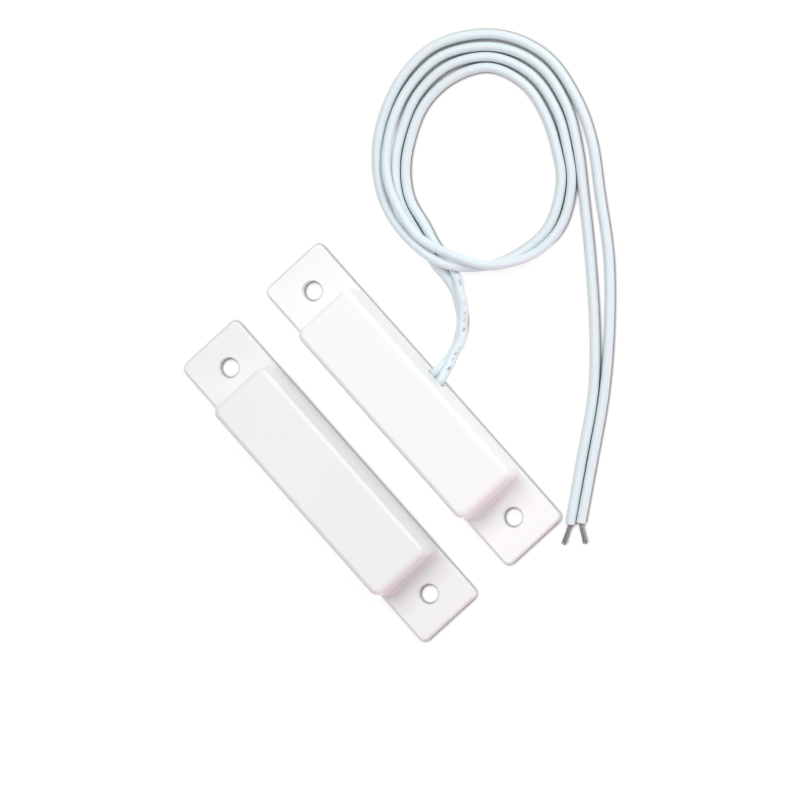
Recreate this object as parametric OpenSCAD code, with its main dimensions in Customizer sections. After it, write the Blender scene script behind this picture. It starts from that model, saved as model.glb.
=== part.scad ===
// Surface-mount magnetic door contact: a wired reed switch half and a magnet half.
// Millimetres, +Z up. The origin is the middle of the switch half's mounting face,
// +X runs along the housing and +Y points out of the side that the leads leave.

/* [Housings] */
// Length of each housing over its two ears
housing_l = 63.5; // [63:0.5:66]
// Width of each housing at its mounting face
housing_w = 12.7; // [12.7:0.1:14]
// Height of the raised body
housing_h = 11.1; // [10.5:0.1:12]
// Length of the raised body at its foot
body_l = 43.4; // [43:0.2:44.4]
// Thickness of the ears
ear_t = 2.0; // [1.8:0.1:2.4]
// Corner radius of the ears
ear_corner_r = 1.0; // [0.5:0.1:1.5]
// Corner radius of the raised body
body_corner_r = 1.5; // [1.3:0.1:2]
// Radius that rounds the top edge
top_edge_r = 0.9; // [0.6:0.1:1.1]
// How far the top of each side leans in, for mould draft
draft_in = 0.35; // [0.2:0.05:0.5]
// Wall thickness above the mounting face
wall_t = 1.6; // [1.4:0.1:1.7]

/* [Screw holes] */
// Radius of the screw hole in each ear
hole_r = 1.75; // [1.5:0.05:1.9]
// Distance between a housing's two screw holes
hole_pitch = 52.2; // [51.8:0.2:52.8]

/* [Base plates] */
// Thickness of the plate that closes each housing
plate_t = 1.5; // [1.3:0.1:1.6]
// Width of the ledge that the plate rests on
ledge_w = 0.7; // [0.4:0.1:0.8]
// Gap round the plate
plate_gap = 0.1; // [0.05:0.05:0.15]

/* [Reed switch] */
// Length of the glass envelope
glass_l = 14; // [13.6:0.2:14.4]
// Outer radius of the glass envelope
glass_r = 1.1; // [1:0.05:1.15]
// Wall thickness of the glass
glass_wall = 0.35; // [0.3:0.01:0.38]
// Length of each glass seal
seal_l = 1.1; // [1:0.05:1.2]
// Radius of the leads that leave the glass
reed_lead_r = 0.25; // [0.2:0.01:0.28]
// Width of a contact blade
blade_w = 1.0; // [0.8:0.05:1.1]
// Thickness of a contact blade
blade_t = 0.2; // [0.15:0.01:0.22]
// How far each blade reaches past the middle of the glass
blade_lap = 1.0; // [0.8:0.1:1.2]
// Air between the closed contact faces
contact_gap = 0.02; // [0.02:0.01:0.04]

/* [Leads] */
// Diameter of a lead over its insulation
wire_d = 1.6; // [1.5:0.02:1.6]
// Radius of the stranded core where it is bare
core_r = 0.38; // [0.34:0.01:0.4]
// Length of the tinned end of each lead
tinned_l = 3.7; // [3:0.1:4]
// Sides of the plain tube that stands for a lead
wire_sides = 8; // [8:1:10]

/* [Magnet half] */
// Distance between the two housings' long centre lines
half_pitch = 19.7; // [19:0.1:30]
// How far the magnet half stands along the switch half
half_shift = 0; // [-1:0.1:1]
// Length of the bar magnet
magnet_l = 35; // [30:1:36]
// Width of the bar magnet
magnet_w = 8; // [6:0.5:8]
// Thickness of the foam pad under the bar magnet
magnet_pad_t = 1.8; // [1.5:0.1:2]

/* [Hidden] */
$fn = 64;

// Colours
abs_white = [0.94, 0.94, 0.93];
plate_white = [0.88, 0.88, 0.87];
pvc_white = [0.87, 0.92, 0.94];
tin_grey = [0.62, 0.61, 0.60];
nickel_grey = [0.72, 0.72, 0.70];
glue_clear = [0.85, 0.82, 0.70];
foam_grey = [0.45, 0.46, 0.48];

// Cuts run this far past the faces they open
cut = 0.5;
// The raised body is a hull of thin levels: their thickness, least corner radius and
// sides, and how many of them round the top edge
level_t = 0.01;
level_r_min = 0.4;
level_sides = 32;
edge_levels = 3;

// Inside of the housings: a skirt round the base plate, then the cavity
skirt_t = 1.1;
recess_l = body_l - 2 * skirt_t;
recess_w = housing_w - 2 * skirt_t;
cavity_l = recess_l - 2 * ledge_w;
cavity_w = recess_w - 2 * ledge_w;
cavity_top = housing_h - wall_t;
plate_corner_r = 0.4;

// Middle of the glass: near the wall that faces the magnet half
reed_y = -1.4;
reed_z = 4.4;
seal_x = glass_l / 2 - seal_l;
shoulder = 0.6;
reed_end_x = 17;

// Blades: the air behind the root, and the neck that widens from it
root_gap = 0.03;
neck_w = 0.5;
neck_l = 1;

// Ribs that cradle the glass, and the foam strip that presses it into them
rib_x = 5;
rib_t = 1;
rib_side = 0.6;
rib_clear = 0.05;
reed_pad_l = 10;
reed_pad_w = 3;

// The bare core lies along the reed lead, with solder and a sleeve round both
solder_film = 0.05;
core_y = reed_y + reed_lead_r + core_r + solder_film;
core_start_x = 12.8;
solder_x = 15.3;
solder_y = (reed_y + core_y) / 2;
solder_profile = [
    [0, -1.3], [0.6, -1.2], [0.85, -0.5], [0.85, 0.5], [0.6, 1.2], [0, 1.3]
];
sleeve_start_x = 12.4;
sleeve_end_x = 18;
sleeve_r = 1.85;
sleeve_wall = 0.2;

// Window in the side wall that both leads leave by, lead b climbing over lead a, and
// the drop of hot melt behind it
exit_x = -0.3;
exit_z = 3.05;
exit_l = 3.7;
exit_h = 3.1;
exit_corner_r = 0.9;
exit_depth = 3;
glue_l = 4.6;
glue_h = 3;
glue_t = 1.1;

// The foam under the bar magnet stops this far short of its ends
magnet_pad_inset = 3;

// Routes of the two leads, from the joint inside the housing to the tinned end:
// out of the window, under the loose loop, nearly twice round it, and away
wire_a_route = [
    [-13, -0.3, 4.4], [-8, 1.2, 4.2], [-4.9, 1.3, 3.5], [-3.1, 1.8, 2.8], [-1.9, 3, 2.5],
    [-1.3, 4.6, 2.4], [-1.3, 6.6, 2.3], [-1.5, 9, 1.7], [-2, 11, 1.2],
    [-3, 13.5, 0.8], [-5, 16, 0.8], [-7.5, 17.5, 0.8], [-9.5, 18.5, 0.8], [-12.5, 19, 0.8],
    [-15, 19, 0.8], [-18.5, 19.5, 0.8], [-21, 20, 0.8], [-27.5, 21.5, 0.8], [-32.5, 25, 0.8],
    [-36, 29.5, 0.8], [-39, 36, 0.8], [-39, 43.5, 0.8], [-35, 50, 0.8], [-28, 53, 0.8],
    [-20.5, 52, 0.8], [-14.5, 49, 0.8], [-9.5, 45.5, 0.8], [-5.5, 39.5, 0.8], [-5, 32.5, 1.8],
    [-8.5, 26, 3.1], [-14, 22.5, 3.7], [-20.5, 20, 3], [-27.5, 21, 2.5], [-33, 23.5, 1.9],
    [-38, 29, 1.2], [-41, 36, 0.8], [-41, 44, 0.8], [-36, 51.5, 0.8], [-28.5, 55, 0.8],
    [-20.5, 54, 0.8], [-13.5, 50.5, 0.8], [-7, 46, 0.8], [2, 39.5, 0.8], [11.5, 32, 0.8],
    [19.5, 24.5, 0.8], [26.5, 15.5, 0.8], [33.5, 6.5, 0.8]
];
wire_b_route = [
    [13, -0.3, 4.4], [8, 1.2, 4.2], [4.3, 1.3, 4], [2.5, 1.9, 3.9], [1.2, 3.1, 3.8],
    [0.6, 4.8, 3.7], [0.4, 6.8, 3.6], [0, 8, 3.5], [-0.5, 9.5, 3.3], [-1.5, 11.5, 2.9],
    [-2.5, 14, 2.5], [-4.5, 16, 2.4], [-6.5, 18, 2.4], [-8.5, 19, 2.4], [-10, 20, 2.1],
    [-12, 20.5, 1.3], [-14, 21, 0.8], [-17.5, 21, 0.8], [-21.5, 22, 0.8], [-26.5, 23, 0.8],
    [-31, 26, 0.8], [-34.5, 30.5, 0.8], [-37, 36, 0.8], [-37, 42.5, 0.8], [-34, 48.5, 0.8],
    [-27.5, 51, 0.8], [-21, 50, 0.8], [-15.5, 47.5, 0.8], [-11, 44.5, 0.8], [-7, 38.5, 0.8],
    [-6.5, 32.5, 0.8], [-8.5, 26, 1.1], [-13.5, 20.5, 2.9], [-20.5, 18.5, 2.3], [-28, 19, 1.1],
    [-34.5, 22.5, 0.8], [-39.5, 28, 0.8], [-43, 36, 0.8], [-43, 44.5, 0.8], [-37.5, 53, 0.8],
    [-29, 57, 0.8], [-20, 56, 0.8], [-12.5, 53, 0.8], [-5, 48, 0.8], [4, 42, 0.8],
    [13, 34, 0.8], [21, 25.5, 0.8], [28, 16.5, 0.8], [34.5, 8, 0.8]
];
// Headings of the tinned ends in plan, which splay apart
tinned_heading_a = -61;
tinned_heading_b = -28;
tinned_inset = 0.6;

// A plan rectangle with round corners, as plain squares and circles
module round_rect(length, width, radius) {
    square([length - 2 * radius, width], center = true);
    square([length, width - 2 * radius], center = true);
    for (sx = [-1, 1], sy = [-1, 1])
        translate([sx * (length / 2 - radius), sy * (width / 2 - radius)]) circle(radius);
}

// One thin level of the raised body, drawn in by the same amount on every side
module body_level(inset, z) {
    radius = max(body_corner_r - inset, level_r_min);
    for (sx = [-1, 1], sy = [-1, 1])
        translate([
            sx * (body_l / 2 - inset - radius),
            sy * (housing_w / 2 - inset - radius),
            z
        ])
            cylinder(r = radius, h = level_t, $fn = level_sides);
}

// Raised body with drafted sides and a rounded top edge
module raised_body() {
    hull() {
        body_level(0, 0);
        body_level(draft_in, housing_h - top_edge_r);
        for (step = [1:edge_levels]) {
            turn = step * 90 / edge_levels;
            body_level(
                draft_in + top_edge_r * (1 - cos(turn)),
                housing_h - level_t - top_edge_r * (1 - sin(turn))
            );
        }
    }
}

// The moulding that both halves share: ears, raised body, cavity and plate recess
module housing() {
    difference() {
        union() {
            linear_extrude(ear_t) round_rect(housing_l, housing_w, ear_corner_r);
            raised_body();
        }
        translate([-recess_l / 2, -recess_w / 2, -cut]) cube([recess_l, recess_w, plate_t + cut]);
        translate([-cavity_l / 2, -cavity_w / 2, 0]) cube([cavity_l, cavity_w, cavity_top]);
        for (side = [-1, 1])
            translate([side * hole_pitch / 2, 0, -cut]) cylinder(r = hole_r, h = ear_t + 2 * cut);
    }
}

// A rib under the roof that cradles one end of the glass
module cradle_rib(x) {
    difference() {
        translate([x - rib_t / 2, -cavity_w / 2, reed_z])
            cube([rib_t, reed_y + glass_r + rib_side + cavity_w / 2, cavity_top - reed_z]);
        translate([x - rib_t, reed_y, reed_z])
            rotate([0, 90, 0]) cylinder(r = glass_r + rib_clear, h = 2 * rib_t);
    }
}

// The window in the side wall that both leads pass through
module exit_window() {
    translate([exit_x, housing_w / 2 + cut, exit_z])
        rotate([90, 0, 0]) linear_extrude(exit_depth) round_rect(exit_l, exit_h, exit_corner_r);
}

module base_plate() {
    linear_extrude(plate_t)
        round_rect(recess_l - 2 * plate_gap, recess_w - 2 * plate_gap, plate_corner_r);
}

// Moves a piece to where the magnet half stands
module at_magnet_half() {
    translate([half_shift, -half_pitch, 0]) children();
}

module switch_housing() {
    color(abs_white) {
        difference() {
            housing();
            exit_window();
        }
        for (side = [-1, 1]) cradle_rib(side * rib_x);
    }
}

module switch_base_plate() {
    color(plate_white) base_plate();
}

// Glass envelope: a tube drawn in to a seal round the lead at each end
module reed_glass() {
    bore_r = glass_r - glass_wall;
    color([0.75, 0.88, 0.85, 0.4])
        translate([0, reed_y, reed_z]) rotate([0, 90, 0]) rotate_extrude()
            polygon([
                [reed_lead_r, -glass_l / 2], [glass_r - shoulder / 2, -glass_l / 2],
                [glass_r, shoulder - glass_l / 2], [glass_r, glass_l / 2 - shoulder],
                [glass_r - shoulder / 2, glass_l / 2], [reed_lead_r, glass_l / 2],
                [reed_lead_r, seal_x], [bore_r, seal_x], [bore_r, -seal_x], [reed_lead_r, -seal_x]
            ]);
}

// Round lead from the inner face of a seal to the soldered joint
module reed_lead(side) {
    color(nickel_grey)
        translate([side * seal_x, reed_y, reed_z])
            rotate([0, side * 90, 0]) cylinder(r = reed_lead_r, h = reed_end_x - seal_x);
}

// Flattened blade, narrow at its root; side -1 is the upper one
module reed_blade(side) {
    root_x = -seal_x + root_gap;
    z = side < 0 ? contact_gap / 2 : -contact_gap / 2 - blade_t;
    color(nickel_grey)
        translate([0, reed_y, reed_z + z]) scale([-side, 1, 1]) linear_extrude(blade_t)
            polygon([
                [root_x, -neck_w / 2], [root_x + neck_l, -blade_w / 2], [blade_lap, -blade_w / 2],
                [blade_lap, blade_w / 2], [root_x + neck_l, blade_w / 2], [root_x, neck_w / 2]
            ]);
}

// Stripped core of a lead, laid along the reed lead
module bare_core(side) {
    color(tin_grey)
        translate([side * core_start_x, core_y, reed_z])
            rotate([0, side * 90, 0]) cylinder(r = core_r, h = reed_end_x - core_start_x);
}

// Drop of solder round the reed lead and the bare core
module solder_joint(side) {
    color(tin_grey) difference() {
        translate([side * solder_x, solder_y, reed_z])
            rotate([0, 90, 0]) rotate_extrude() polygon(solder_profile);
        reed_lead(side);
        bare_core(side);
    }
}

// Shrink sleeve over the joint and the end of the insulation
module shrink_sleeve(side) {
    color("dimgray") difference() {
        translate([side * sleeve_start_x, solder_y, reed_z])
            rotate([0, side * 90, 0]) cylinder(r = sleeve_r, h = sleeve_end_x - sleeve_start_x);
        translate([side * (sleeve_start_x - cut), solder_y, reed_z])
            rotate([0, side * 90, 0])
                cylinder(r = sleeve_r - sleeve_wall, h = sleeve_end_x - sleeve_start_x + 2 * cut);
    }
}

// Foam strip on the base plate that presses the glass into its cradles
module reed_foam_pad() {
    color(foam_grey) difference() {
        translate([-reed_pad_l / 2, reed_y - reed_pad_w / 2, plate_t])
            cube([reed_pad_l, reed_pad_w, reed_z - plate_t - glass_r / 2]);
        translate([-reed_pad_l, reed_y, reed_z])
            rotate([0, 90, 0]) cylinder(r = glass_r, h = 2 * reed_pad_l);
    }
}

// Hot-melt drop that grips both leads behind the window
module exit_glue() {
    color(glue_clear)
        translate([exit_x, cavity_w / 2, exit_z])
            rotate([90, 0, 0]) linear_extrude(glue_t) round_rect(glue_l, glue_h, exit_corner_r);
}

// Unit vector from one point to another
function heading(from, to) = (to - from) / norm(to - from);

// Direction of travel at a point of a route
function travel(route, i) =
    heading(route[max(i - 1, 0)], route[min(i + 1, len(route) - 1)]);

// Ring of a tube at a point of a route, square to the direction of travel
function ring(route, i, radius) =
    let (
        t = travel(route, i),
        across = heading([0, 0, 0], cross([0, 0, 1], t)),
        up = cross(t, across)
    )
    [for (k = [0:wire_sides - 1])
        let (turn = (k + 0.5) * 360 / wire_sides)
        route[i] + radius * (cos(turn) * across + sin(turn) * up)];

// Plain tube swept along a route
module tube(route, radius) {
    last = len(route) - 1;
    points = [for (i = [0:last]) each ring(route, i, radius)];
    sides = [for (i = [0:last - 1], k = [0:wire_sides - 1])
        let (n = (k + 1) % wire_sides, a = i * wire_sides)
        [a + k, a + n, a + wire_sides + n, a + wire_sides + k]];
    start_cap = [for (k = [wire_sides - 1:-1:0]) k];
    end_cap = [for (k = [0:wire_sides - 1]) last * wire_sides + k];
    polyhedron(points, concat([start_cap], sides, [end_cap]));
}

// Twisted and tinned end of a lead; it starts just inside the insulation
module tinned_end(route, plan_heading) {
    color(tin_grey)
        translate(route[len(route) - 1]) rotate([0, 90, plan_heading])
            translate([0, 0, -tinned_inset])
                cylinder(r = core_r, h = tinned_l + tinned_inset, $fn = 32);
}

module magnet_housing() {
    color(abs_white) at_magnet_half() housing();
}

module magnet_base_plate() {
    color(plate_white) at_magnet_half() base_plate();
}

module bar_magnet() {
    magnet_z = plate_t + magnet_pad_t;
    color("dimgray") at_magnet_half()
        translate([-magnet_l / 2, -magnet_w / 2, magnet_z])
            cube([magnet_l, magnet_w, cavity_top - magnet_z]);
}

module magnet_foam_pad() {
    pad_l = magnet_l - 2 * magnet_pad_inset;
    color(foam_grey) at_magnet_half()
        translate([-pad_l / 2, -magnet_w / 2, plate_t]) cube([pad_l, magnet_w, magnet_pad_t]);
}

switch_housing();
switch_base_plate();
reed_glass();
reed_lead(-1);  // reed_lead_a
reed_lead(1);  // reed_lead_b
reed_blade(-1);  // reed_blade_a
reed_blade(1);  // reed_blade_b
bare_core(-1);  // bare_core_a
bare_core(1);  // bare_core_b
solder_joint(-1);  // solder_joint_a
solder_joint(1);  // solder_joint_b
shrink_sleeve(-1);  // shrink_sleeve_a
shrink_sleeve(1);  // shrink_sleeve_b
reed_foam_pad();
exit_glue();
color(pvc_white) tube(wire_a_route, wire_d / 2);  // wire_a
color(pvc_white) tube(wire_b_route, wire_d / 2);  // wire_b
tinned_end(wire_a_route, tinned_heading_a);  // tinned_end_a
tinned_end(wire_b_route, tinned_heading_b);  // tinned_end_b
magnet_housing();
magnet_base_plate();
bar_magnet();
magnet_foam_pad();
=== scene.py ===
"""Looks of the door contact sensor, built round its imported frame. Metres, in the frame's own axes."""

import math

import bmesh
import bpy
from mathutils import Matrix, Vector


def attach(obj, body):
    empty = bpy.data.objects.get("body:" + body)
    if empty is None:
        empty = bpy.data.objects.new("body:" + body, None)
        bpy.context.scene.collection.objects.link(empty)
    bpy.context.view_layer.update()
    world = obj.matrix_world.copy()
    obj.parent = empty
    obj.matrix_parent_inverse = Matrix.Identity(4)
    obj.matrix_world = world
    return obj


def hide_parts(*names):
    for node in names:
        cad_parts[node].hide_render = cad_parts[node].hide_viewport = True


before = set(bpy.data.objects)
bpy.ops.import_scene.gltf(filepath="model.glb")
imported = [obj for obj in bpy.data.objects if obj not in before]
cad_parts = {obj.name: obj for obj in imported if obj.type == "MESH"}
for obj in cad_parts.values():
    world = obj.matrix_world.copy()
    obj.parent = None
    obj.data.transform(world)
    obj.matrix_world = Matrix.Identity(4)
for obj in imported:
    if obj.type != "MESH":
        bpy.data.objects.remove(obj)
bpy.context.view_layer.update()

MM = 0.001
SCENE = bpy.context.scene

# ---------------------------------------------------------------- camera

VIEW_TURN = math.radians(48)      # the picture's right, turned from +X towards +Y
VIEW_TILT = math.radians(10.5)    # the camera leans towards the picture's right
LOOK_AT = Vector((-2.2, -1.41, 0)) * MM
FRAME_WIDTH = 137.4 * MM
LENS = 300
SENSOR = 36


def make_camera():
    right = Vector((math.cos(VIEW_TURN), math.sin(VIEW_TURN), 0))
    up = Vector((-math.sin(VIEW_TURN), math.cos(VIEW_TURN), 0))
    back = Vector((0, 0, 1)) * math.cos(VIEW_TILT) + right * math.sin(VIEW_TILT)
    camera = bpy.data.objects.new("camera", bpy.data.cameras.new("camera"))
    SCENE.collection.objects.link(camera)
    camera.data.lens = LENS
    camera.data.sensor_width = SENSOR
    camera.data.clip_start = 0.01
    camera.data.clip_end = 20
    turn = Matrix((up.cross(back), up, back)).transposed().to_4x4()
    camera.matrix_world = Matrix.Translation(LOOK_AT + back * (FRAME_WIDTH * LENS / SENSOR)) @ turn
    SCENE.camera = camera


make_camera()

# ---------------------------------------------------------------- mesh helpers


def new_piece(name, mesh, body):
    """An object for a mesh, riding on a body."""
    piece = bpy.data.objects.new(name, mesh)
    SCENE.collection.objects.link(piece)
    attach(piece, body)
    return piece


def shade(mesh, sharp_deg):
    """Smooth faces, with the edges that turn by more than sharp_deg kept sharp."""
    work = bmesh.new()
    work.from_mesh(mesh)
    for face in work.faces:
        face.smooth = True
    for edge in work.edges:
        if len(edge.link_faces) == 2:
            edge.smooth = edge.calc_face_angle(0) < math.radians(sharp_deg)
    work.to_mesh(mesh)
    work.free()


def from_rings(name, rings):
    """A mesh whose rings of points are joined by quads, with its two ends closed."""
    work = bmesh.new()
    made = [[work.verts.new(p) for p in ring] for ring in rings]
    for low, high in zip(made, made[1:]):
        for k in range(len(low)):
            n = (k + 1) % len(low)
            work.faces.new((low[k], low[n], high[n], high[k]))
    work.faces.new(list(reversed(made[0])))
    work.faces.new(made[-1])
    bmesh.ops.recalc_face_normals(work, faces=work.faces)
    mesh = bpy.data.meshes.new(name)
    work.to_mesh(mesh)
    work.free()
    return mesh


# ---------------------------------------------------------------- leads

# The routes of part.scad, in metres: from the joint inside the housing to the tinned end
WIRE_A_ROUTE = [
    (-0.013, -0.0003, 0.0044), (-0.008, 0.0012, 0.0042), (-0.0049, 0.0013, 0.0035),
    (-0.0031, 0.0018, 0.0028), (-0.0019, 0.003, 0.0025), (-0.0013, 0.0046, 0.0024),
    (-0.0013, 0.0066, 0.0023), (-0.0015, 0.009, 0.0017), (-0.002, 0.011, 0.0012),
    (-0.003, 0.0135, 0.0008), (-0.005, 0.016, 0.0008), (-0.0075, 0.0175, 0.0008),
    (-0.0095, 0.0185, 0.0008), (-0.0125, 0.019, 0.0008), (-0.015, 0.019, 0.0008),
    (-0.0185, 0.0195, 0.0008), (-0.021, 0.02, 0.0008), (-0.0275, 0.0215, 0.0008),
    (-0.0325, 0.025, 0.0008), (-0.036, 0.0295, 0.0008), (-0.039, 0.036, 0.0008),
    (-0.039, 0.0435, 0.0008), (-0.035, 0.05, 0.0008), (-0.028, 0.053, 0.0008), (-0.0205, 0.052, 0.0008),
    (-0.0145, 0.049, 0.0008), (-0.0095, 0.0455, 0.0008), (-0.0055, 0.0395, 0.0008),
    (-0.005, 0.0325, 0.0018), (-0.0085, 0.026, 0.0031), (-0.014, 0.0225, 0.0037), (-0.0205, 0.02, 0.003),
    (-0.0275, 0.021, 0.0025), (-0.033, 0.0235, 0.0019), (-0.038, 0.029, 0.0012), (-0.041, 0.036, 0.0008),
    (-0.041, 0.044, 0.0008), (-0.036, 0.0515, 0.0008), (-0.0285, 0.055, 0.0008),
    (-0.0205, 0.054, 0.0008), (-0.0135, 0.0505, 0.0008), (-0.007, 0.046, 0.0008),
    (0.002, 0.0395, 0.0008), (0.0115, 0.032, 0.0008), (0.0195, 0.0245, 0.0008), (0.0265, 0.0155, 0.0008),
    (0.0335, 0.0065, 0.0008),
]
WIRE_B_ROUTE = [
    (0.013, -0.0003, 0.0044), (0.008, 0.0012, 0.0042), (0.0043, 0.0013, 0.004), (0.0025, 0.0019, 0.0039),
    (0.0012, 0.0031, 0.0038), (0.0006, 0.0048, 0.0037), (0.0004, 0.0068, 0.0036), (0, 0.008, 0.0035),
    (-0.0005, 0.0095, 0.0033), (-0.0015, 0.0115, 0.0029), (-0.0025, 0.014, 0.0025),
    (-0.0045, 0.016, 0.0024), (-0.0065, 0.018, 0.0024), (-0.0085, 0.019, 0.0024), (-0.01, 0.02, 0.0021),
    (-0.012, 0.0205, 0.0013), (-0.014, 0.021, 0.0008), (-0.0175, 0.021, 0.0008),
    (-0.0215, 0.022, 0.0008), (-0.0265, 0.023, 0.0008), (-0.031, 0.026, 0.0008),
    (-0.0345, 0.0305, 0.0008), (-0.037, 0.036, 0.0008), (-0.037, 0.0425, 0.0008),
    (-0.034, 0.0485, 0.0008), (-0.0275, 0.051, 0.0008), (-0.021, 0.05, 0.0008),
    (-0.0155, 0.0475, 0.0008), (-0.011, 0.0445, 0.0008), (-0.007, 0.0385, 0.0008),
    (-0.0065, 0.0325, 0.0008), (-0.0085, 0.026, 0.0011), (-0.0135, 0.0205, 0.0029),
    (-0.0205, 0.0185, 0.0023), (-0.028, 0.019, 0.0011), (-0.0345, 0.0225, 0.0008),
    (-0.0395, 0.028, 0.0008), (-0.043, 0.036, 0.0008), (-0.043, 0.0445, 0.0008),
    (-0.0375, 0.053, 0.0008), (-0.029, 0.057, 0.0008), (-0.02, 0.056, 0.0008), (-0.0125, 0.053, 0.0008),
    (-0.005, 0.048, 0.0008), (0.004, 0.042, 0.0008), (0.013, 0.034, 0.0008), (0.021, 0.0255, 0.0008),
    (0.028, 0.0165, 0.0008), (0.0345, 0.008, 0.0008),
]
WIRE_D = 1.6 * MM
CORE_R = 0.38 * MM
TINNED_L = 3.7 * MM
WIRE_STEP = 0.55 * MM
WIRE_SIDES = 22
WIRE_SHARP_DEG = 50
# Steps in each span of a route's curve, and how many times its bends are then evened out
SPAN_STEPS = 14
RELAX_ROUNDS = 10
# The lip of a cut end: its broken edges, its play round the core and the depth of its bore
LIP_EDGE = 0.05 * MM
LIP_PLAY = 0.02 * MM
LIP_DEPTH = 0.5 * MM
# Places along lead b, in mm, where its print shows as faint dashes, and how strong each is
PRINT_MARKS = (
    (18.9, 0.9), (20.1, 0.35), (21.3, 0.6), (22.4, 0.3), (26, 0.75), (27.3, 0.45), (28.7, 0.4), (30, 0.25),
    (33.4, 0.6), (34.2, 0.5), (35.5, 0.45),
)
# Which of the tube's sides carry the print
INK_SIDES = (6, 7)
UP = Vector((0, 0, 1))


def smooth_line(route):
    """A Catmull-Rom curve along a route, its bends evened out and its tube kept above the floor."""
    points = [Vector(p) for p in route]
    line = []
    for i in range(len(points) - 1):
        p0, p1, p2, p3 = (points[min(max(i + k, 0), len(points) - 1)] for k in (-1, 0, 1, 2))
        for j in range(SPAN_STEPS):
            t = j / SPAN_STEPS
            line.append(0.5 * (
                2 * p1 + (p2 - p0) * t + (2 * p0 - 5 * p1 + 4 * p2 - p3) * t * t
                + (3 * p1 - p0 - 3 * p2 + p3) * t ** 3
            ))
    line.append(points[-1])
    for _ in range(RELAX_ROUNDS):
        line = [line[0], *((a + 2 * b + c) / 4 for a, b, c in zip(line, line[1:], line[2:])), line[-1]]
    for point in line:
        point.z = max(point.z, WIRE_D / 2)
    return line


def even_steps(line, step):
    """Points along a line at equal distances, both ends kept, and the distance between them."""
    lengths = [0.0]
    for a, b in zip(line, line[1:]):
        lengths.append(lengths[-1] + (b - a).length)
    count = max(2, round(lengths[-1] / step))
    step = lengths[-1] / count
    out = []
    i = 0
    for k in range(count + 1):
        while i < len(line) - 2 and lengths[i + 1] < k * step:
            i += 1
        share = (k * step - lengths[i]) / (lengths[i + 1] - lengths[i])
        out.append(line[i].lerp(line[i + 1], min(1, share)))
    return out, step


def travel(line, i):
    """The heading of a line at its point i."""
    return (line[min(i + 1, len(line) - 1)] - line[max(i - 1, 0)]).normalized()


def ring_at(centre, along, radius, sides):
    """A ring of points round centre, square to along."""
    across = UP.cross(along).normalized()
    over = along.cross(across)
    ring = []
    for k in range(sides):
        turn = (k + 0.5) * math.tau / sides
        ring.append(centre + radius * (math.cos(turn) * across + math.sin(turn) * over))
    return ring


def cut_lip(tip, out, heading):
    """The rings of a softly cut end; out points away from the lead, heading along its travel."""
    face = tip + out * LIP_EDGE
    return [
        ring_at(face, heading, WIRE_D / 2 - LIP_EDGE, WIRE_SIDES),
        ring_at(face, heading, CORE_R + LIP_EDGE, WIRE_SIDES),
        ring_at(tip - out * LIP_DEPTH, heading, CORE_R + LIP_PLAY, WIRE_SIDES),
    ]


def make_wire(name, route, marks):
    """The insulation: a smooth tube with a softly cut lip at both ends."""
    line, step = even_steps(smooth_line(route), WIRE_STEP)
    tube = [ring_at(p, travel(line, i), WIRE_D / 2, WIRE_SIDES) for i, p in enumerate(line)]
    leave = travel(line, 0)
    arrive = travel(line, len(line) - 1)
    start_lip = cut_lip(line[0], -leave, leave)
    end_lip = cut_lip(line[-1], arrive, arrive)
    lead_in = len(start_lip)
    # The tube's last rings come after the end lip: they overlap it and close that end behind its face
    rings = [*reversed(start_lip), *tube[:-lead_in], *end_lip, *tube[-lead_in:]]
    mesh = from_rings(name, rings)
    run = mesh.attributes.new("run", "FLOAT_VECTOR", "POINT")
    for i in range(len(rings)):
        for k in range(WIRE_SIDES):
            turn = (k + 0.5) / WIRE_SIDES
            run.data[i * WIRE_SIDES + k].vector = ((i - lead_in) * step, turn, 0)
    ink = mesh.attributes.new("ink", "FLOAT", "POINT")
    for at, strength in marks:
        ring = lead_in + round(at * MM / step)
        for side in INK_SIDES:
            ink.data[ring * WIRE_SIDES + side].value = strength
    shade(mesh, WIRE_SHARP_DEG)
    piece = new_piece(name, mesh, "switch_half")
    return piece, line


# Where each tinned end heads in plan once it has splayed
TINNED_HEADING = {"a": math.radians(-61), "b": math.radians(-28)}
# How far inside the insulation the strands start, and how many steps they are made in
TINNED_INSET = 0.6 * MM
TINNED_STEPS = 36
# The strands reach their splayed heading after 1 / SPLAY_RATE of their length
SPLAY_RATE = 3
# How far along the tinned end each strand reaches: the middle one, then those round it
STRAND_REACH = (1, 0.96, 0.89, 1, 0.92, 0.98, 0.86)
STRAND_R = 0.13 * MM
STRAND_SIDES = 10
STRAND_SHARP_DEG = 60
# How far the outer strands lie from the middle one at root and tip, and their twist in radians
STRAND_ROOT = 0.24 * MM
STRAND_TIP = 0.36 * MM
STRAND_TWIST = 1.9


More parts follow.
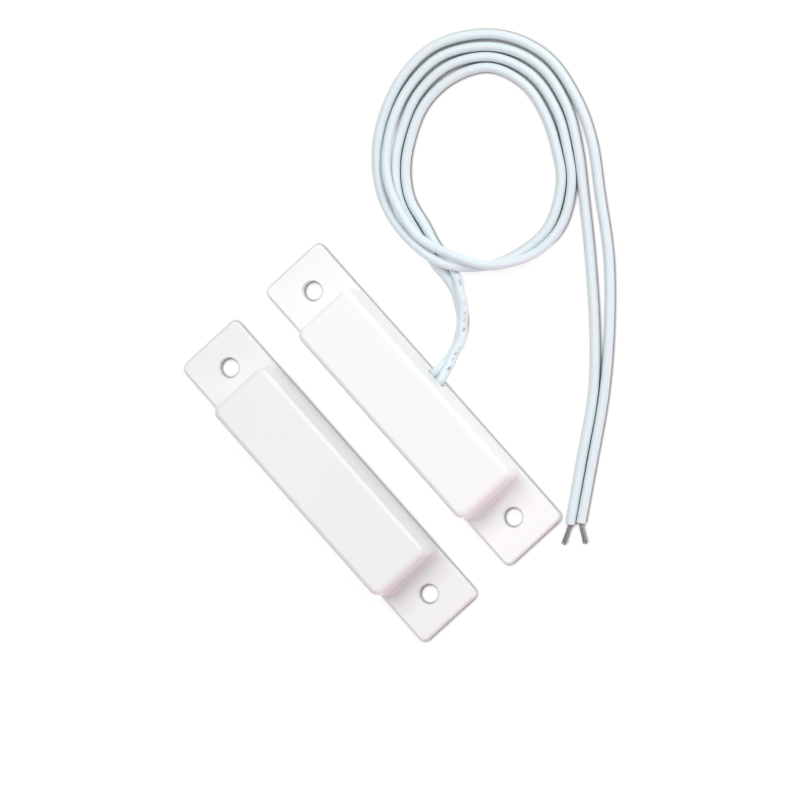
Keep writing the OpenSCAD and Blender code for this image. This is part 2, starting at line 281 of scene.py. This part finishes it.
def make_tinned_end(letter, line):
    """Twisted strands, close at the root and fraying at the tip, that splay away from the lead."""
    name = "tinned_strands_" + letter
    plan = TINNED_HEADING[letter]
    leave = travel(line, len(line) - 1)
    splay = Vector((math.cos(plan), math.sin(plan), 0))
    step = (TINNED_L + TINNED_INSET) / TINNED_STEPS
    middle = [(line[-1] - leave * TINNED_INSET, leave)]
    for i in range(1, TINNED_STEPS + 1):
        along = leave.lerp(splay, min(1, i / TINNED_STEPS * SPLAY_RATE)).normalized()
        middle.append((middle[-1][0] + along * step, along))
    work = bmesh.new()
    for k, reach in enumerate(STRAND_REACH):
        rings = []
        for i in range(round(TINNED_STEPS * reach) + 1):
            centre, along = middle[i]
            share = i / TINNED_STEPS
            across = UP.cross(along).normalized()
            over = along.cross(across)
            turn = k * math.tau / (len(STRAND_REACH) - 1) + share * STRAND_TWIST
            spread = STRAND_ROOT + (STRAND_TIP - STRAND_ROOT) * share ** 2 if k else 0
            place = centre + (math.cos(turn) * across + math.sin(turn) * over) * spread
            rings.append(ring_at(place, along, STRAND_R, STRAND_SIDES))
        strand = from_rings(name, rings)
        work.from_mesh(strand)
        bpy.data.meshes.remove(strand)
    mesh = bpy.data.meshes.new(name)
    work.to_mesh(mesh)
    work.free()
    shade(mesh, STRAND_SHARP_DEG)
    piece = new_piece(name, mesh, "switch_half")
    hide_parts("tinned_end_" + letter)
    return piece


leads = {}
for letter, route, marks in (("a", WIRE_A_ROUTE, ()), ("b", WIRE_B_ROUTE, PRINT_MARKS)):
    wire, line = make_wire("lead_" + letter, route, marks)
    tinned = make_tinned_end(letter, line)
    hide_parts("wire_" + letter)
    leads[letter] = (wire, tinned)

# ---------------------------------------------------------------- housings

HOUSING_L = 63.5 * MM
HOUSING_W = 12.7 * MM
HOUSING_H = 11.1 * MM
BODY_L = 43.4 * MM
EAR_T = 2.0 * MM
EAR_CORNER_R = 1.0 * MM
BODY_CORNER_R = 1.5 * MM
TOP_EDGE_R = 0.95 * MM
EAR_EDGE_W = 0.28 * MM
EAR_EDGE_H = 0.75 * MM
EAR_FOOT = 0.08 * MM
EAR_SET_IN = 0.01 * MM
# How fast corner radii shrink as the walls move in, and the least radius of a body corner
BODY_CORNER_SHRINK = 0.8
EAR_CORNER_SHRINK = 0.6
LEAST_CORNER_R = 0.35 * MM
FOOT_R = 0.9 * MM
DRAFT_IN = 0.35 * MM
WALL_T = 1.6 * MM
PLATE_T = 1.5 * MM
PLATE_GAP = 0.1 * MM
SKIRT_T = 1.1 * MM
LEDGE_W = 0.7 * MM
RECESS_R = 0.3 * MM
HOLLOW_R = 0.8 * MM
HOLE_R = 1.75 * MM
HOLE_PITCH = 52.2 * MM
HOLE_EDGE_W = 0.18 * MM
HOLE_EDGE_H = 0.45 * MM
HOLE_FOOT = 0.1 * MM
# How far a cutter reaches past the face that it cuts
CUT_OVER = 0.5 * MM
AT_SWITCH_HALF = Vector((0, 0, 0))
AT_MAGNET_HALF = Vector((0, -19.7, 0)) * MM
WINDOW_AT = Vector((-0.3, 0, 3.05)) * MM
WINDOW_L = 3.7 * MM
WINDOW_H = 3.1 * MM
WINDOW_R = 0.9 * MM
# The window's cutter starts inside the hollow, breaks the rim and flares past the wall
WINDOW_BACK = 3.85 * MM
WINDOW_EDGE_DEPTH = 0.15 * MM
WINDOW_EDGE_W = 0.1 * MM
WINDOW_OVER = 0.6 * MM
WINDOW_FLARE = 0.5 * MM
PLATE_EDGE = 0.15 * MM
PLATE_EDGE_R = 0.3 * MM
PLATE_R = 0.4 * MM
MARK_AT = 12 * MM
MARK_R = 1.6 * MM
MARK_DEPTH = 0.08 * MM
NOTCH_REACH = 1.0 * MM
NOTCH_HALF_W = 2.5 * MM
NOTCH_R = 0.3 * MM
NOTCH_DEPTH = 0.6 * MM
NOTCH_OVER = 1.0 * MM
CORNER_STEPS = 10
ARC_STEPS = 8
CIRCLE_SIDES = 48
HOUSING_SHARP_DEG = 32
PLATE_SHARP_DEG = 30


def round_rect(half_x, half_y, radius, z):
    """A plan rectangle with round corners, as a ring of points."""
    ring = []
    for corner in range(4):
        cx = (half_x - radius) * (1 if corner in (0, 3) else -1)
        cy = (half_y - radius) * (1 if corner in (0, 1) else -1)
        for k in range(CORNER_STEPS + 1):
            turn = math.radians(90 * corner + 90 * k / CORNER_STEPS)
            ring.append(Vector((cx + radius * math.cos(turn), cy + radius * math.sin(turn), z)))
    return ring


def quarter():
    """Angles of a quarter turn, from level to upright."""
    return [math.radians(90 * k / ARC_STEPS) for k in range(ARC_STEPS + 1)]


def draft(z):
    """How far a wall leans in at height z."""
    return DRAFT_IN * z / HOUSING_H


def body_rings():
    """The raised body: a foot that flares into the ears, leaning walls and a round top edge."""
    half_x, half_y = BODY_L / 2, HOUSING_W / 2
    rings = []

    def add(z, out=0.0, inward=0.0):
        lean = draft(z) + inward
        radius = max(BODY_CORNER_R + out - BODY_CORNER_SHRINK * inward, LEAST_CORNER_R)
        rings.append(round_rect(half_x + out - lean, half_y - lean, radius, z))

    add(0, FOOT_R)
    for turn in quarter():
        add(EAR_T + FOOT_R * (1 - math.cos(turn)), FOOT_R * (1 - math.sin(turn)))
    for turn in quarter():
        drop = TOP_EDGE_R * (1 - math.sin(turn))
        add(HOUSING_H - drop, inward=TOP_EDGE_R * (1 - math.cos(turn)))
    return rings


def ear_rings():
    """The ear plate, a hair narrower than the body so that the side walls run on unbroken."""
    half_x, half_y = HOUSING_L / 2, HOUSING_W / 2 - EAR_SET_IN
    rings = [
        round_rect(half_x - EAR_FOOT, half_y - EAR_FOOT, EAR_CORNER_R - EAR_FOOT, 0),
        round_rect(half_x, half_y, EAR_CORNER_R, EAR_FOOT),
    ]
    for turn in quarter():
        z = EAR_T - EAR_EDGE_H * (1 - math.sin(turn))
        lean = draft(z) + EAR_EDGE_W * (1 - math.cos(turn))
        rings.append(round_rect(half_x - lean, half_y - lean, EAR_CORNER_R - EAR_CORNER_SHRINK * lean, z))
    return rings


def circle_ring(x, radius, z):
    """A level circle round (x, 0, z), as a ring of points."""
    turns = [k * math.tau / CIRCLE_SIDES for k in range(CIRCLE_SIDES)]
    return [Vector((x + radius * math.cos(turn), radius * math.sin(turn), z)) for turn in turns]


def hole_cutter(x):
    """Cuts a screw hole whose two rims are slightly broken."""
    rings = [
        circle_ring(x, HOLE_R + HOLE_FOOT, -CUT_OVER),
        circle_ring(x, HOLE_R + HOLE_FOOT, 0),
        circle_ring(x, HOLE_R, HOLE_FOOT),
    ]
    for turn in quarter():
        out = HOLE_EDGE_W * (1 - math.cos(turn))
        rings.append(circle_ring(x, HOLE_R + out, EAR_T - HOLE_EDGE_H * (1 - math.sin(turn))))
    rings.append(circle_ring(x, HOLE_R + HOLE_EDGE_W, EAR_T + CUT_OVER))
    return from_rings("hole_cutter", rings)


def box_cutter(half_x, half_y, radius, low, high):
    """An upright block with round corners, from low to high."""
    return from_rings("box_cutter", [round_rect(half_x, half_y, radius, z) for z in (low, high)])


def window_cutter():
    """Cuts the window in the +Y wall that both leads leave by, with its outer rim broken."""
    rings = []
    rim = HOUSING_W / 2 - draft(WINDOW_AT.z)
    steps = (
        (WINDOW_BACK, 0),
        (rim - WINDOW_EDGE_DEPTH, 0),
        (rim, WINDOW_EDGE_W),
        (rim + WINDOW_OVER, WINDOW_FLARE),
    )
    for y, grow in steps:
        flat = round_rect(WINDOW_L / 2 + grow, WINDOW_H / 2 + grow, WINDOW_R + grow, 0)
        rings.append([WINDOW_AT + Vector((p.x, y, p.y)) for p in flat])
    return from_rings("window_cutter", rings)


def combine(target, other, operation):
    """Applies one boolean to target, a mesh, and returns the result as a new mesh."""
    a = bpy.data.objects.new("boolean_a", target)
    b = bpy.data.objects.new("boolean_b", other)
    for o in (a, b):
        SCENE.collection.objects.link(o)
    step = a.modifiers.new("boolean", "BOOLEAN")
    step.operation = operation
    step.solver = "EXACT"
    step.object = b
    made = bpy.data.meshes.new_from_object(a.evaluated_get(bpy.context.evaluated_depsgraph_get()))
    for o in (a, b):
        bpy.data.objects.remove(o)
    for mesh in (target, other):
        bpy.data.meshes.remove(mesh)
    return made


def make_housing(name, node, body, place, slotted):
    """One moulding: ears, raised body, screw holes, hollow and plate recess."""
    mesh = combine(from_rings("ears", ear_rings()), from_rings("body", body_rings()), "UNION")
    recess_x, recess_y = BODY_L / 2 - SKIRT_T, HOUSING_W / 2 - SKIRT_T
    cutters = [
        box_cutter(recess_x, recess_y, RECESS_R, -CUT_OVER, PLATE_T),
        box_cutter(recess_x - LEDGE_W, recess_y - LEDGE_W, HOLLOW_R, PLATE_T / 2, HOUSING_H - WALL_T),
        hole_cutter(-HOLE_PITCH / 2),
        hole_cutter(HOLE_PITCH / 2),
    ]
    if slotted:
        cutters.append(window_cutter())
    for cutter in cutters:
        mesh = combine(mesh, cutter, "DIFFERENCE")
    mesh.transform(Matrix.Translation(place))
    mesh.name = name
    shade(mesh, HOUSING_SHARP_DEG)
    piece = new_piece(name, mesh, body)
    normals = piece.modifiers.new("even_normals", "WEIGHTED_NORMAL")
    normals.keep_sharp = True
    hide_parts(node)
    return piece


def make_plate(name, node, body, place):
    """The plate that closes a housing: broken edges, a prying notch and two ejector marks."""
    half_x = BODY_L / 2 - SKIRT_T - PLATE_GAP
    half_y = HOUSING_W / 2 - SKIRT_T - PLATE_GAP
    inner_x, inner_y = half_x - PLATE_EDGE, half_y - PLATE_EDGE
    rings = [
        round_rect(inner_x, inner_y, PLATE_EDGE_R, 0),
        round_rect(half_x, half_y, PLATE_R, PLATE_EDGE),
        round_rect(half_x, half_y, PLATE_R, PLATE_T - PLATE_EDGE),
        round_rect(inner_x, inner_y, PLATE_EDGE_R, PLATE_T),
    ]
    mesh = from_rings(name, rings)
    for side in (-1, 1):
        mark = from_rings("mark", [circle_ring(side * MARK_AT, MARK_R, z) for z in (-CUT_OVER, MARK_DEPTH)])
        mesh = combine(mesh, mark, "DIFFERENCE")
    notch = box_cutter(NOTCH_REACH, NOTCH_HALF_W, NOTCH_R, -NOTCH_OVER, NOTCH_DEPTH)
    notch.transform(Matrix.Translation((half_x, 0, 0)))
    mesh = combine(mesh, notch, "DIFFERENCE")
    mesh.transform(Matrix.Translation(place))
    mesh.name = name
    shade(mesh, PLATE_SHARP_DEG)
    piece = new_piece(name, mesh, body)
    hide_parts(node)
    return piece


housings = {
    "switch": make_housing("switch_case", "switch_housing", "switch_half", AT_SWITCH_HALF, True),
    "magnet": make_housing("magnet_case", "magnet_housing", "magnet_half", AT_MAGNET_HALF, False),
}
plates = [
    make_plate("switch_plate", "switch_base_plate", "switch_half", AT_SWITCH_HALF),
    make_plate("magnet_plate", "magnet_base_plate", "magnet_half", AT_MAGNET_HALF),
]

# ---------------------------------------------------------------- materials


class Paint:
    """A node material in the making: adds nodes and joins them by name."""

    def __init__(self, name):
        self.material = bpy.data.materials.new(name)
        self.material.use_nodes = True
        self.tree = self.material.node_tree
        self.shader = self.tree.nodes["Principled BSDF"]
        self.place = self.add("ShaderNodeTexCoord").outputs["Object"]

    def add(self, kind, **values):
        node = self.tree.nodes.new(kind)
        for key, value in values.items():
            if key in node.inputs:
                node.inputs[key].default_value = value
            else:
                setattr(node, key, value)
        return node

    def join(self, output, target):
        self.tree.links.new(output, target)

    def noise(self, scale, detail, rough=0.55, stretch=None):
        """Noise at the paint's place: the piece's own metres, unless the material sets another."""
        noise = self.add("ShaderNodeTexNoise", Scale=scale, Detail=detail, Roughness=rough)
        source = self.place
        if stretch:
            mapping = self.add("ShaderNodeMapping", Scale=stretch)
            self.join(source, mapping.inputs["Vector"])
            source = mapping.outputs["Vector"]
        self.join(source, noise.inputs["Vector"])
        return noise.outputs["Fac"]

    def spread(self, output, low, high, centre=0.5, reach=0.25):
        """Maps the values within reach of centre to the range from low to high."""
        ramp = self.add("ShaderNodeMapRange")
        ramp.inputs["From Min"].default_value = centre - reach
        ramp.inputs["From Max"].default_value = centre + reach
        ramp.inputs["To Min"].default_value = low
        ramp.inputs["To Max"].default_value = high
        self.join(output, ramp.inputs["Value"])
        return ramp.outputs["Result"]

    def blend(self, factor, first, second):
        """A colour between two, by a factor; each colour is a tuple or an output."""
        mix = self.add("ShaderNodeMix", data_type="RGBA")
        self.join(factor, mix.inputs["Factor"])
        for key, value in (("A", first), ("B", second)):
            socket = next(s for s in mix.inputs if s.name == key and s.type == "RGBA")
            if isinstance(value, tuple):
                socket.default_value = (*value, 1)
            else:
                self.join(value, socket)
        return next(s for s in mix.outputs if s.type == "RGBA")

    def bump(self, height, distance, strength):
        bump = self.add("ShaderNodeBump", Distance=distance, Strength=strength)
        self.join(height, bump.inputs["Height"])
        return bump.outputs["Normal"]

    def edges(self, radius):
        """1 on rounded edges, where shade is painted, and 0 on flat faces: how far a rounded normal leaves
        the true one.
        """
        rounded = self.add("ShaderNodeBevel", Radius=radius)
        true = self.add("ShaderNodeNewGeometry").outputs["Normal"]
        dot = self.add("ShaderNodeVectorMath", operation="DOT_PRODUCT")
        self.join(rounded.outputs["Normal"], dot.inputs[0])
        self.join(true, dot.inputs[1])
        return self.spread(dot.outputs["Value"], 1, 0, centre=0.93, reach=0.06)

    def finish(self, colour, rough, normal=None, **plain):
        """Joins what varies over the surface and sets the shader's constants."""
        for output, name in ((colour, "Base Color"), (rough, "Roughness"), (normal, "Normal")):
            if output is not None:
                self.join(output, self.shader.inputs[name])
        for key, value in plain.items():
            self.shader.inputs[key.replace("_", " ")].default_value = value
        return self.material


def tint(colour, amount):
    return tuple(min(1.0, c * amount) for c in colour)


def moulded_plastic(name, warm, cool):
    """Satin moulded ABS: fine spark-eroded grain, faint flow clouds, and edges a little darker as painted
    shade.
    """
    paint = Paint(name)
    clouds = paint.noise(scale=70, detail=3)
    grain = paint.noise(scale=5200, detail=2, rough=0.6)
    body = paint.blend(paint.spread(clouds, 0, 1), warm, cool)
    # Painted shade: rounded edges and rims are coloured darker to stand in for their dark outlines
    edge_shade = paint.edges(radius=0.35 * MM)
    shown = paint.blend(edge_shade, body, tint(warm, 0.9))
    rough = paint.spread(paint.noise(scale=900, detail=4), low=0.36, high=0.46)
    normal = paint.bump(grain, distance=0.012 * MM, strength=0.6)
    return paint.finish(shown, rough, normal, IOR=1.53)


def soft_pvc(name, colour):
    """Extruded PVC: faint streaks along the lead, a soft gloss and the marks of its print."""
    paint = Paint(name)
    run = paint.add("ShaderNodeAttribute", attribute_name="run").outputs["Vector"]
    paint.place = run
    streaks = paint.noise(scale=1, detail=3, rough=0.5, stretch=(60, 9, 1))
    clean = paint.blend(paint.spread(streaks, 0, 1), tint(colour, 0.975), tint(colour, 1.015))
    ink = paint.add("ShaderNodeAttribute", attribute_name="ink").outputs["Fac"]
    shown = paint.blend(ink, clean, tint(colour, 0.25))
    wear = paint.noise(scale=1, detail=4, rough=0.5, stretch=(900, 14, 1))
    rough = paint.spread(wear, low=0.42, high=0.52)
    ripple = paint.noise(scale=1, detail=2, rough=0.5, stretch=(350, 6, 1))
    normal = paint.bump(ripple, distance=0.02 * MM, strength=0.5)
    return paint.finish(shown, rough, normal, IOR=1.53)


def metal(name, colour, rough_low, rough_high, stretch=(1, 1, 1), grain=0.01 * MM):
    """Plated or soldered metal with fine marks."""
    paint = Paint(name)
    marks = paint.noise(scale=2600, detail=4, rough=0.6, stretch=stretch)
    clouds = paint.spread(paint.noise(scale=700, detail=3), 0, 1)
    shown = paint.blend(clouds, tint(colour, 0.86), tint(colour, 1.08))
    rough = paint.spread(marks, rough_low, rough_high)
    normal = paint.bump(marks, distance=grain, strength=0.6)
    return paint.finish(shown, rough, normal, Metallic=1.0)


def clear_glass(name, colour):
    """Clear glass, faintly uneven in tint and surface."""
    paint = Paint(name)
    clouds = paint.spread(paint.noise(scale=160, detail=2), 0, 1)
    shown = paint.blend(clouds, colour, tint(colour, 0.96))
    rough = paint.spread(paint.noise(scale=600, detail=3), low=0.02, high=0.07)
    normal = paint.bump(paint.noise(scale=300, detail=2), distance=0.02 * MM, strength=0.4)
    return paint.finish(shown, rough, normal, IOR=1.51, Transmission_Weight=1.0)


def open_foam(name, colour):
    """Open foam whose cells are darker than the walls between them, as painted shade in the cells."""
    paint = Paint(name)
    cells = paint.add("ShaderNodeTexVoronoi", Scale=3800)
    paint.join(paint.place, cells.inputs["Vector"])
    holes = paint.spread(cells.outputs["Distance"], 0, 1, centre=0.35, reach=0.3)
    # Painted shade: the cells are coloured darker than the walls; the same mask also gives the bump
    shown = paint.blend(holes, tint(colour, 0.5), tint(colour, 1.2))
    rough = paint.spread(paint.noise(scale=900, detail=2), low=0.85, high=0.97)
    normal = paint.bump(holes, distance=0.08 * MM, strength=0.8)
    return paint.finish(shown, rough, normal, IOR=1.45)


def dull_solid(name, colour, rough_low, rough_high, scale, bump, **plain):
    """Rubber, ferrite or hot melt: a clouded body with its own grain."""
    paint = Paint(name)
    clouds = paint.noise(scale=scale / 6, detail=3)
    grain = paint.noise(scale=scale, detail=5, rough=0.65)
    shown = paint.blend(paint.spread(clouds, 0, 1), tint(colour, 0.85), tint(colour, 1.15))
    rough = paint.spread(grain, rough_low, rough_high)
    normal = paint.bump(grain, distance=bump, strength=0.7)
    return paint.finish(shown, rough, normal, **plain)


MATERIALS = {
    "switch_abs": moulded_plastic("switch_abs", (0.855, 0.86, 0.85), (0.845, 0.855, 0.84)),
    "magnet_abs": moulded_plastic("magnet_abs", (0.815, 0.81, 0.815), (0.765, 0.785, 0.795)),
    "plate_abs": moulded_plastic("plate_abs", (0.74, 0.735, 0.73), (0.71, 0.715, 0.71)),
    "pvc": soft_pvc("pvc", (0.705, 0.79, 0.825)),
    "tinned": metal("tinned", (0.36, 0.355, 0.345), rough_low=0.45, rough_high=0.7, grain=0.02 * MM),
    "solder": metal("solder", (0.6, 0.6, 0.6), rough_low=0.18, rough_high=0.35),
    "nickel_iron": metal(
        "nickel_iron", (0.55, 0.54, 0.5), rough_low=0.22, rough_high=0.4, stretch=(0.2, 1, 1)
    ),
    "glass": clear_glass("glass", (0.82, 0.93, 0.9)),
    "foam": open_foam("foam", (0.07, 0.073, 0.08)),
    "ferrite": dull_solid(
        "ferrite", (0.045, 0.042, 0.04), rough_low=0.5, rough_high=0.75, scale=4200, bump=0.03 * MM,
        Metallic=0.3,
    ),
    "sleeve": dull_solid(
        "sleeve", (0.012, 0.012, 0.013), rough_low=0.4, rough_high=0.6, scale=2600, bump=0.01 * MM
    ),
    "hot_melt": dull_solid(
        "hot_melt", (0.62, 0.57, 0.42), rough_low=0.3, rough_high=0.5, scale=1200, bump=0.05 * MM
    ),
}
# The materials of the CAD nodes that stay, by how their names start
NODE_MATERIALS = {
    "reed_glass": "glass", "reed_lead": "nickel_iron", "reed_blade": "nickel_iron",
    "bare_core": "tinned", "solder_joint": "solder", "shrink_sleeve": "sleeve",
    "reed_foam_pad": "foam", "magnet_foam_pad": "foam", "exit_glue": "hot_melt",
    "bar_magnet": "ferrite",
}


def dress(piece, material):
    """Puts one material on a piece, whatever slots it came with."""
    if not piece.material_slots:
        piece.data.materials.append(None)
    for slot in piece.material_slots:
        slot.link = "OBJECT"
        slot.material = MATERIALS[material]


dress(housings["switch"], "switch_abs")
dress(housings["magnet"], "magnet_abs")
for plate in plates:
    dress(plate, "plate_abs")
for wire, tinned in leads.values():
    dress(wire, "pvc")
    dress(tinned, "tinned")
for name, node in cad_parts.items():
    for start, material in NODE_MATERIALS.items():
        if name.startswith(start):
            dress(node, material)

# ---------------------------------------------------------------- floor and light

FLOOR_HALF = 3.0
FLOOR_GLOW = 0.8
# How near to the floor a thing has to be for the floor's painted contact shadow
CONTACT_REACH = 0.75 * MM
WORLD_COLOUR = (1.0, 0.985, 0.99, 1)
WORLD_STRENGTH = 0.4


def make_floor():
    """A pale glowing floor with a painted contact shadow: its glow fades out where something stands on it.
    """
    mesh = bpy.data.meshes.new("floor")
    half = FLOOR_HALF
    corners = [(-half, -half, 0), (half, -half, 0), (half, half, 0), (-half, half, 0)]
    mesh.from_pydata(corners, [], [(0, 1, 2, 3)])
    floor = bpy.data.objects.new("floor", mesh)
    SCENE.collection.objects.link(floor)
    paint = Paint("floor_white")
    clouds = paint.spread(paint.noise(scale=8, detail=2), 0, 1)
    shown = paint.blend(clouds, (0.24, 0.24, 0.24), (0.25, 0.25, 0.25))
    rough = paint.spread(paint.noise(scale=40, detail=2), low=0.85, high=0.95)
    # Painted contact shadow: the floor's glow is dimmed by ambient occlusion near things standing on it
    contact = paint.add("ShaderNodeAmbientOcclusion", Distance=CONTACT_REACH, samples=8)
    glow = paint.spread(contact.outputs["AO"], 0, FLOOR_GLOW, centre=0.7, reach=0.22)
    paint.join(glow, paint.shader.inputs["Emission Strength"])
    floor.data.materials.append(paint.finish(
        shown, rough, Specular_IOR_Level=0.05, Emission_Color=(1, 1, 1, 1)
    ))


def make_lamp(name, toward, distance, size, power, colour=(1, 1, 1)):
    """A round soft lamp in the direction toward, aimed at the frame's origin."""
    place = Vector(toward).normalized() * distance
    lamp = bpy.data.objects.new(name, bpy.data.lights.new(name, "AREA"))
    lamp.data.shape = "DISK"
    lamp.data.size = size
    lamp.data.energy = power
    lamp.data.color = colour
    SCENE.collection.objects.link(lamp)
    lamp.location = place
    lamp.rotation_mode = "QUATERNION"
    lamp.rotation_quaternion = (-place).to_track_quat("-Z", "Y")
    lamp.visible_camera = False


make_floor()
make_lamp("key", (-0.35, 0.05, 1), distance=1.6, size=1.0, power=10.5)
make_lamp("fill", (-0.1, 1.0, 0.9), distance=1.4, size=0.8, power=9, colour=(0.96, 1.0, 0.97))
make_lamp("rose", (1.3, -0.2, 0.35), distance=1.4, size=0.6, power=4.2, colour=(1.0, 0.42, 0.62))
world = bpy.data.worlds.new("world")
SCENE.world = world
world.use_nodes = True
background = world.node_tree.nodes["Background"]
background.inputs["Color"].default_value = WORLD_COLOUR
background.inputs["Strength"].default_value = WORLD_STRENGTH
SCENE.view_settings.view_transform = "Standard"
SCENE.view_settings.look = "None"
